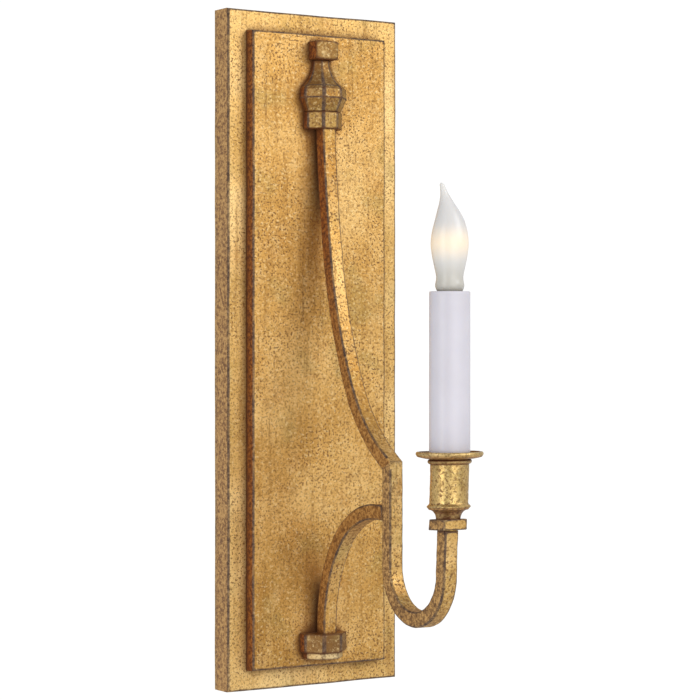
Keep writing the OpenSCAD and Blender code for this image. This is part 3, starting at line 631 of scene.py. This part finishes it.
arm_route = path_points(
    np.array(ARM_START) - along(ARM_SLOPES[0]) * ARM_TAIL, ARM_SLOPES[0],
    [("run", ARM_TAIL)] + [("arc", r, to) for r, to in zip(ARM_RADII, ARM_SLOPES[1:])],
)
arm_end = arm_route[-1][0]
stub = (LEG_OUT - arm_end[0]) / math.sin(math.radians(ARM_SLOPES[3]))
kink = arm_end + along(ARM_SLOPES[3]) * stub
mitre = (kink, along(ARM_SLOPES[3] / 2))
arm_route += [(arm_end + along(ARM_SLOPES[3]) * stub * k / 8, ARM_SLOPES[3]) for k in range(1, 9)]
forged_bar("arm_forged", arm_route, GILT_ARM, ["upper_arm"], seed=1.0, ends=(None, mitre))

RISER_TENON = 1.6        # how far the riser runs into the collar
hook_route = path_points(
    kink, 0,
    [
        ("run", kink[1] - HOOK_Z),
        ("arc", HOOK_R, 180 - RISER_LEAN),
        ("run", COLLAR_LOW[2] - HOOK_Z + RISER_TENON),
    ],
)
forged_bar("hook_forged", hook_route, GILT_HOOK, ["hook_arm"], seed=2.0, ends=(mitre, None))

foot_low = box_mm("lower_brace")[0][2]
turn_sine = math.sin(math.radians(BRACE_TURN))
brace_start_z = BRACE_Z - BRACE_RADII[1] * (1 - turn_sine) - BRACE_RADII[0] * turn_sine
brace_route = path_points(
    (BRACE_OUT, foot_low), 180,
    [
        ("run", brace_start_z - foot_low),
        ("arc", BRACE_RADII[0], 180 - BRACE_TURN),
        ("arc", BRACE_RADII[1], 90),
    ],
)
brace_end = brace_route[-1][0]
BRACE_WELD = 0.4         # how far the brace runs into the leg
reach = LEG_OUT - BAR / 2 - brace_end[0] + BRACE_WELD
brace_route += [(brace_end + np.array([reach * k / 6, 0]), 90) for k in range(1, 7)]
forged_bar("brace_forged", brace_route, GILT_ARM, ["lower_brace"], seed=3.0)


# ---- Finial and foot: half octagons lofted up their height, with softened edges

SINK = 0.4               # how far the forgings reach into the panel
OCTAGON_CORNER_R = 0.8
CORNER_ARC = 3
CORNER_WEAR = 0.5


def half_octagon(a, z):
    """Outline at one height. a is the half width across the flats."""
    t = a * math.tan(math.radians(22.5))
    corners = [(-a, -SINK), (a, -SINK), (a, t), (t, a), (-t, a), (-a, t)]
    outline = rounded(corners, min(OCTAGON_CORNER_R, t * 0.5, 0.45 * a), side=5, arc=CORNER_ARC)
    return [(p[0], -PANEL_OUT - p[1], z) for p in outline]


RIM_STEPS = ((1.6, 0), (0.7, 0.08), (0.25, 0.35), (0, 1))      # (inset, rise) in parts of the rim


def rimmed(sections, rim=0.7):
    """Rounds over the ends of a list of (half width, height) by adding narrower rows."""
    out = []
    (a0, z0), (a1, z1) = sections[0], sections[-1]
    up = 1 if z1 > z0 else -1
    for inset, rise in RIM_STEPS:
        out.append((a0 - rim * inset, z0 + up * rim * rise))
    out += sections[1:-1]
    for inset, rise in reversed(RIM_STEPS):
        out.append((a1 - rim * inset, z1 - up * rim * rise))
    return out


def fill_in(sections, step=1.2):
    """Adds in-between sections so that no two are further apart than a step."""
    out = [sections[0]]
    for (a0, z0), (a1, z1) in zip(sections, sections[1:]):
        n = max(1, math.ceil(math.hypot(a1 - a0, z1 - z0) / step))
        out += [(a0 + (a1 - a0) * k / n, z0 + (z1 - z0) * k / n) for k in range(1, n + 1)]
    return out


def dented(rows, amount, size, seed, centre):
    """Moves every point in or out a little, as a hammer leaves it."""
    out = []
    for row in rows:
        new = []
        for p in row:
            d = np.array([p[0] - centre[0], p[1] - centre[1], 0.0])
            d /= np.linalg.norm(d) + 1e-9
            k = amount * (bumps(p, size, seed) + 0.45 * bumps(p, size * 0.4, seed + 1))
            new.append(tuple(np.array(p) + d * k))
        out.append(new)
    return out


def forged_octagon(name, sections, replaces, seed, material, creases=()):
    """A forging with wear lines along the octagon's corners and along the creases, given by height."""
    filled = fill_in(rimmed(sections))
    rows = [half_octagon(a, z) for a, z in filled]
    points, faces = loft(dented(rows, 0.16, 6, seed, (0, -PANEL_OUT)))
    obj = build(name, points, faces, material, "fixture", replaces)
    edge = obj.data.attributes["edge"].data
    n = len(rows[0])
    per_corner = n // 6
    for i, (_, z) in enumerate(filled):
        creased = any(abs(z - c) < 0.05 for c in creases)
        for k in range(n):
            if creased or k % per_corner <= CORNER_ARC:
                edge[i * n + k].value = CORNER_WEAR
    return obj


def widths(node):
    """Half width, lower end and upper end of a node."""
    low, high = box_mm(node)
    return high[0], low[2], high[2]


bulb_a, bulb_z0, bulb_z1 = widths("finial_body")
collar_a, collar_z0, collar_z1 = widths("finial_collar")
foot_a, foot_z0, foot_z1 = widths("foot_block")
step_a, step_z0, step_z1 = widths("foot_step")

# The neck is a hollow arc that ends upright at the top, as in the CAD.
NECK_A, CREASE_A = 6.6, 14.6
belly_z, crease_z = bulb_z0 + 9.4, bulb_z0 + 17.6
neck_run, neck_drop = CREASE_A - NECK_A, bulb_z1 - crease_z
neck_r = (neck_run ** 2 + neck_drop ** 2) / (2 * neck_run)
neck_end = math.asin(neck_drop / neck_r)
neck = [
    (NECK_A + neck_r * (1 - math.cos(neck_end * k / 10)), bulb_z1 - neck_r * math.sin(neck_end * k / 10))
    for k in range(10, -1, -1)
]
forged_octagon(
    "finial_bulb",
    [(collar_a - 0.6, bulb_z0), (bulb_a, belly_z), (bulb_a - 0.5, bulb_z0 + 15.7)] + neck,
    ["finial_body"], 5.0, GILT_FORGED, (belly_z, crease_z),
)
forged_octagon(
    "finial_ring", [(collar_a, collar_z0), (collar_a, collar_z1)], ["finial_collar"], 6.0, GILT_FORGED,
)
forged_octagon("foot_forged", [(foot_a, foot_z0), (foot_a, foot_z1)], ["foot_block"], 7.0, GILT_FOOT)
forged_octagon(
    "foot_step_forged", [(step_a, step_z0), (step_a, step_z1 + 0.5)], ["foot_step"], 8.0, GILT_STEP,
)

cap_low, cap_high = box_mm("finial_cap")
CAP_ASIDE = 0.6          # the cap sits a little left of the arm


def cap_row(inset, z):
    w = cap_high[0] - inset
    front = -cap_low[1] - inset - PANEL_OUT
    corners = [(-w, -SINK), (w, -SINK), (w, front), (-w, front)]
    return [(p[0] - CAP_ASIDE, -PANEL_OUT - p[1], z) for p in rounded(corners, 1.0, side=6, arc=3)]


cap_insets = [(-v, z) for v, z in rimmed([(0, cap_low[2]), (0, cap_high[2])], 0.8)]
cap_rows = [cap_row(inset, z) for inset, z in fill_in(cap_insets, 1.3)]
cap_points, cap_faces = loft(dented(cap_rows, 0.25, 7, 9.0, (0, -PANEL_OUT)))
build("finial_cap_forged", cap_points, cap_faces, GILT_FORGED, "fixture", ["finial_cap"])


# ---- Collar, cup and dish
# The real stack leans a little: the lower a piece stands, the nearer it is to the wall.

LEAN_HEIGHTS = (COLLAR_LOW[2], -95, -72)
LEAN_OFFSETS = (-2.2, -1.0, 0)


def stack_lean(z):
    """How much further from the wall than the candle's axis the stack stands at a height."""
    return float(np.interp(z, LEAN_HEIGHTS, LEAN_OFFSETS))


def tilted(rows, slope):
    """Shears rows made about the candle's axis to follow the lean, and tips each piece slightly."""
    out = []
    for row in rows:
        new = []
        for x, y, z in row:
            new.append((x, y - stack_lean(z), z - (y + CANDLE_OUT) * slope))
        out.append(new)
    return out


def ring_row(r, z, n=96):
    turns = [2 * math.pi * k / n for k in range(n)]
    return [(r * math.cos(a), -CANDLE_OUT + r * math.sin(a), z) for a in turns]


def turned(profile, step=0.9, n=96):
    """Rows of a turned piece from its (radius, height) outline, which is a closed loop."""
    full = profile + [profile[0]]
    rows = []
    for (r0, z0), (r1, z1) in zip(full, full[1:]):
        k_max = max(1, math.ceil(math.hypot(r1 - r0, z1 - z0) / step))
        rows += [
            ring_row(r0 + (r1 - r0) * k / k_max, z0 + (z1 - z0) * k / k_max, n) for k in range(k_max)
        ]
    return rows


def arc_points(r, z, radius, start, end, n):
    """n (radius, height) points on an arc about (r, z), between two angles."""
    return [(r + radius * math.cos(math.radians(a)), z + radius * math.sin(math.radians(a)))
            for a in np.linspace(start, end, n)]


def square_row(inset, z):
    outline = rounded(square(COLLAR_HIGH[0] - inset), 0.8, side=8, arc=3)
    return [(p[0], -CANDLE_OUT + p[1], z) for p in outline]


collar_insets = fill_in(rimmed([(0, COLLAR_LOW[2]), (0, COLLAR_HIGH[2])], 0.55))
collar_rows = [square_row(-v, z) for v, z in collar_insets]
collar_points, collar_faces = loft(tilted(dented(collar_rows, 0.2, 5, 11.0, (0, -CANDLE_OUT)), 0.05))
build("collar_forged", collar_points, collar_faces, GILT_HOOK, "fixture", ["cup_collar"])

cup_low, cup_high = box_mm("candle_cup")
z0, z1 = cup_low[2], cup_high[2]
flare = [math.radians(a) for a in range(10, 91, 10)]
cup_profile = (
    [(5.2, z0), (7.6, z0)]
    + [(7.7 + 4.6 * (1 - math.cos(a)), z0 + 5.9 * math.sin(a)) for a in flare]
    + [(13.1, z0 + 6.9), (13.75, z0 + 7.5), (13.8, z0 + 8.0), (13.2, z0 + 8.7)]
    + [(12.4, z0 + 9.4), (12.15, z0 + 10.2)]
    + [(12.1, z0 + 18), (12.15, z1 - 3.1)]
    + arc_points(12.2, z1 - 1.5, 1.55, -80, 80, 8)
    + [(11.4, z1), (10.4, z1), (10.4, z0 + 6.4), (5.2, z0 + 6.4)]
)
cup_rows = tilted(dented(turned(cup_profile), 0.16, 5, 12.0, (0, -CANDLE_OUT)), 0.03)
points, faces = loft(cup_rows, loop=True)
cup = build("cup_turned", points, faces, GILT_CUP, "fixture", ["candle_cup"])
HOLLOW_SHADE = 0.42       # painted shade: at least this much crevice darkening is laid in the hollow under the flared ring
for vertex, crevice_level in zip(cup.data.vertices, cup.data.attributes["crevice"].data):
    if z0 < vertex.co.z / MM < z0 + 6.2:
        crevice_level.value = max(crevice_level.value, HOLLOW_SHADE)

dish_low, dish_high = box_mm("bobeche")
dish_r = dish_high[0]
d0, d1 = dish_low[2], dish_high[2]
dish_profile = (
    [(9.9, d0 + 0.05), (13.8, d0 + 0.1), (16, d0 + 0.4), (18.6, d0 + 0.95), (20.4, d0 + 1.5)]
    + arc_points(dish_r - 1.35, d1 - 1.45, 1.35, -50, 100, 8)
    + [(19.0, d0 + 3.75), (17.6, d0 + 3.65), (14.6, d0 + 3.6), (13.0, d0 + 3.6), (9.9, d0 + 3.6)]
)
dish_rows = []
for row in turned(dish_profile, 0.7, 128):
    new = []
    for x, y, z in row:
        r = math.hypot(x, y + CANDLE_OUT)
        k = (r / dish_r) ** 2
        lift = 0.28 * bumps((x, y, 0), 11, 14.0) * k + 0.14 * bumps((x, y, z), 4.5, 15.0) * k
        grow = 1 + (0.014 * bumps((x, y, 0), 16, 13.0) - 0.006) * k
        new.append((x * grow, -CANDLE_OUT + (y + CANDLE_OUT) * grow, z + lift))
    dish_rows.append(new)
points, faces = loft(tilted(dish_rows, 0.012), loop=True)
build("dish_hammered", points, faces, GILT_CUP, "fixture", ["bobeche"])


# ---- Sleeve and lamp

def sleeve_material():
    s = Shade("sleeve_satin")
    cloud = s.noise(22, 3, 0.5)
    grain = s.noise(1.1, 3, 0.5)
    tone = s.mix(s.spread(cloud, 0.35, 0.65), rgb("CAC6CD"), rgb("D0CCD3"))
    tone = s.mix(s.times(s.attribute("crevice"), 0.5), tone, rgb("B9B0A8"))
    return s.finish(
        Base_Color=tone, Roughness=s.spread(grain, 0.3, 0.7, 0.34, 0.46), Normal=s.bump(cloud, 0.2, 0.0004),
        Subsurface_Weight=0.15, Subsurface_Radius=(0.004, 0.003, 0.002),
        Coat_Weight=0.15, Coat_Roughness=0.3,
    )


s_top, s_foot = SLEEVE_HIGH[2], SLEEVE_LOW[2]
s_r = SLEEVE_HIGH[0]
s_bore = 11.1
sleeve_profile = (
    [(s_bore, s_foot + 0.3), (s_bore + 0.3, s_foot), (s_r - 0.4, s_foot)]
    + arc_points(s_r - 0.4, s_foot + 0.4, 0.4, -90, 0, 3)
    + arc_points(s_r - 0.7, s_top - 0.7, 0.7, 0, 90, 5)
    + arc_points(s_bore + 0.6, s_top - 0.6, 0.6, 90, 180, 4)
)
sleeve_rows = dented(turned(sleeve_profile, 1.6), 0.05, 18, 20.0, (0, -CANDLE_OUT))
points, faces = loft(sleeve_rows, loop=True)
build("sleeve_satin", points, faces, sleeve_material(), "sleeve", ["candle_sleeve"])

# The glass's outline as (height, radius), and how far and which way its tip leans
GLASS = (
    (33.0, 5.3), (34.6, 5.35), (36.2, 6.9), (38.0, 8.3), (41.0, 9.1), (46.0, 8.45), (53.0, 9.8),
    (60.0, 11.2), (67.0, 11.85), (74.0, 11.1), (81.0, 9.3), (87.0, 7.0), (92.0, 4.7), (97.0, 2.8),
    (101.0, 1.85), (103.4, 1.4), (104.6, 0.5),
)
TIP_LEAN = 5.0
LEAN_FROM, LEAN_HEIGHT = 80.0, 24.0
LEAN_WAY = (-0.848, 0.53)
FILAMENT_Z = 67.0


def smooth_curve(points, per_span):
    """A Catmull-Rom curve through the points."""
    out = []
    last = len(points) - 1
    for i in range(last):
        a, b, c, d = (np.array(points[max(0, min(last, i + k))]) for k in (-1, 0, 1, 2))
        for k in range(per_span):
            t = k / per_span
            squared = a - 2.5 * b + 2 * c - d / 2
            cubed = -a / 2 + 1.5 * b - 1.5 * c + d / 2
            out.append(b + t * (c - a) / 2 + t * t * squared + t ** 3 * cubed)
    return out + [np.array(points[last])]


def glass_material():
    s = Shade("frosted_glass")
    centre = s.add("CombineXYZ", {"Z": FILAMENT_Z * MM, "Y": -CANDLE_OUT * MM})
    away = s.add("VectorMath", {0: s.at, 1: centre.outputs[0]}, operation="SUBTRACT")
    flat = s.add("VectorMath", {0: away.outputs[0], 1: (0.0, 0.0, 1.0)}, operation="MULTIPLY")
    distance = s.add("VectorMath", {0: flat.outputs[0]}, operation="LENGTH").outputs["Value"]
    glow = s.spread(distance, 0.014, 0.0)
    neck = s.spread(s.add("SeparateXYZ", {"Vector": s.at}).outputs[2], 0.060, 0.040)
    frost = s.noise(0.8, 3, 0.6)
    cloud = s.noise(14, 3, 0.5)
    tone = s.mix(s.spread(cloud, 0.35, 0.65), rgb("D3D0CD"), rgb("D9D6D1"))
    tone = s.mix(neck, tone, rgb("BEBAB0"))
    tone = s.mix(s.times(glow, 0.6), tone, rgb("FFE9C8"))
    return s.finish(
        Base_Color=tone, Roughness=s.spread(frost, 0.3, 0.7, 0.3, 0.42), Normal=s.bump(frost, 0.15, 0.0002),
        Subsurface_Weight=0.3, Subsurface_Radius=(0.006, 0.005, 0.004),
        Coat_Weight=0.3, Coat_Roughness=0.2,
        Emission_Color=s.mix(glow, rgb("000000"), rgb("FFD9A0")), Emission_Strength=0.1,
    )


glass_rows = []
for z, r in smooth_curve(GLASS, 4):
    lean = TIP_LEAN * max(0.0, (z - LEAN_FROM) / LEAN_HEIGHT) ** 1.4
    aside, away = lean * LEAN_WAY[0], lean * LEAN_WAY[1]
    glass_rows.append([(x + aside, y + away, z) for x, y, _ in ring_row(r, z, 64)])
points, faces = loft(glass_rows)
build(
    "lamp_glass", points, faces, glass_material(), "bulb", ["bulb_glass"], smooth_angle=0,
)


# ---- Carried-over CAD nodes keep their shapes and get their materials

SLOT_OF = {p["node"]: p["material_slot"] for p in frame["record"]["subparts"]}
for node_name, node_obj in NODES.items():
    slot_name = SLOT_OF.get(node_name)
    if slot_name in CARRIED:
        if not node_obj.material_slots:
            node_obj.data.materials.append(CARRIED[slot_name])
        for held in node_obj.material_slots:
            held.material = CARRIED[slot_name]


# ---- Floor, camera and light

def flat_material(name, code):
    s = Shade(name)
    tone = s.mix(s.spread(s.noise(180, 3, 0.5), 0.35, 0.65), rgb(code), rgb("F4F3F1"))
    return s.finish(Base_Color=tone, Roughness=0.8)


FLOOR_Y, FLOOR_Z = -0.1, -0.42
FLOOR_RINGS = (0.35, 0.7, 1.0)
SPOKES = 96

floor_mesh = bpy.data.meshes.new("floor")
turns = [2 * math.pi * k / SPOKES for k in range(SPOKES)]
floor_points = [(0.0, FLOOR_Y, FLOOR_Z)]
for r in FLOOR_RINGS:
    floor_points += [(r * math.cos(a), FLOOR_Y + r * math.sin(a), FLOOR_Z) for a in turns]
floor_faces = [(0, 1 + k, 1 + (k + 1) % SPOKES) for k in range(SPOKES)]
for i in range(len(FLOOR_RINGS) - 1):
    a, b = 1 + i * SPOKES, 1 + (i + 1) * SPOKES
    floor_faces += [
        (a + k, b + k, b + (k + 1) % SPOKES, a + (k + 1) % SPOKES) for k in range(SPOKES)
    ]
floor_mesh.from_pydata(floor_points, [], floor_faces)
floor = bpy.data.objects.new("floor", floor_mesh)
floor_mesh.materials.append(flat_material("pale_floor", "ECEBE9"))
link(floor)

# The camera that took the photograph, fitted to it: place in metres, then tilt and turn in degrees
CAMERA_AT = (-0.7988, -1.3438, 0.00652)
CAMERA_TILT, CAMERA_TURN = 90 - 0.237, -31.98

camera_data = bpy.data.cameras.new("camera")
camera_data.sensor_width = 36
camera_data.lens = 116.67
camera = bpy.data.objects.new("camera", camera_data)
camera.location = CAMERA_AT
camera.rotation_euler = (math.radians(CAMERA_TILT), 0, math.radians(CAMERA_TURN))
link(camera)
bpy.context.scene.camera = camera


def area_light(name, place, target, size, power):
    data = bpy.data.lights.new(name, "AREA")
    data.shape = "RECTANGLE"
    data.size, data.size_y = size
    data.energy = power
    lamp = bpy.data.objects.new(name, data)
    lamp.location = place
    lamp.rotation_euler = (Vector(target) - Vector(place)).to_track_quat("-Z", "Y").to_euler()
    link(lamp)


area_light("key", (1.0, -1.6, 1.0), (0, -0.05, 0.05), (1.2, 1.2), 15)
area_light("front", (-0.2, -2.2, 0.2), (0, -0.05, 0), (1.5, 1.5), 12)
area_light("left", (-1.6, -0.5, 0.2), (0, -0.1, 0), (0.8, 1.6), 9)

# The camera sees a white surround, and the object is lit by a dimmer, slightly cool one
world = bpy.data.worlds.new("world")
world.use_nodes = True
bpy.context.scene.world = world
tree = world.node_tree
tree.nodes.clear()
ray = tree.nodes.new("ShaderNodeLightPath")
seen = tree.nodes.new("ShaderNodeBackground")
seen.inputs["Color"].default_value = (1, 1, 1, 1)
seen.inputs["Strength"].default_value = 1.05
felt = tree.nodes.new("ShaderNodeBackground")
felt.inputs["Color"].default_value = (0.95, 0.97, 1.0, 1)
felt.inputs["Strength"].default_value = 0.62
both = tree.nodes.new("ShaderNodeMixShader")
out = tree.nodes.new("ShaderNodeOutputWorld")
tree.links.new(ray.outputs["Is Camera Ray"], both.inputs[0])
tree.links.new(felt.outputs[0], both.inputs[1])
tree.links.new(seen.outputs[0], both.inputs[2])
tree.links.new(both.outputs[0], out.inputs["Surface"])

bpy.context.scene.view_settings.view_transform = "Standard"
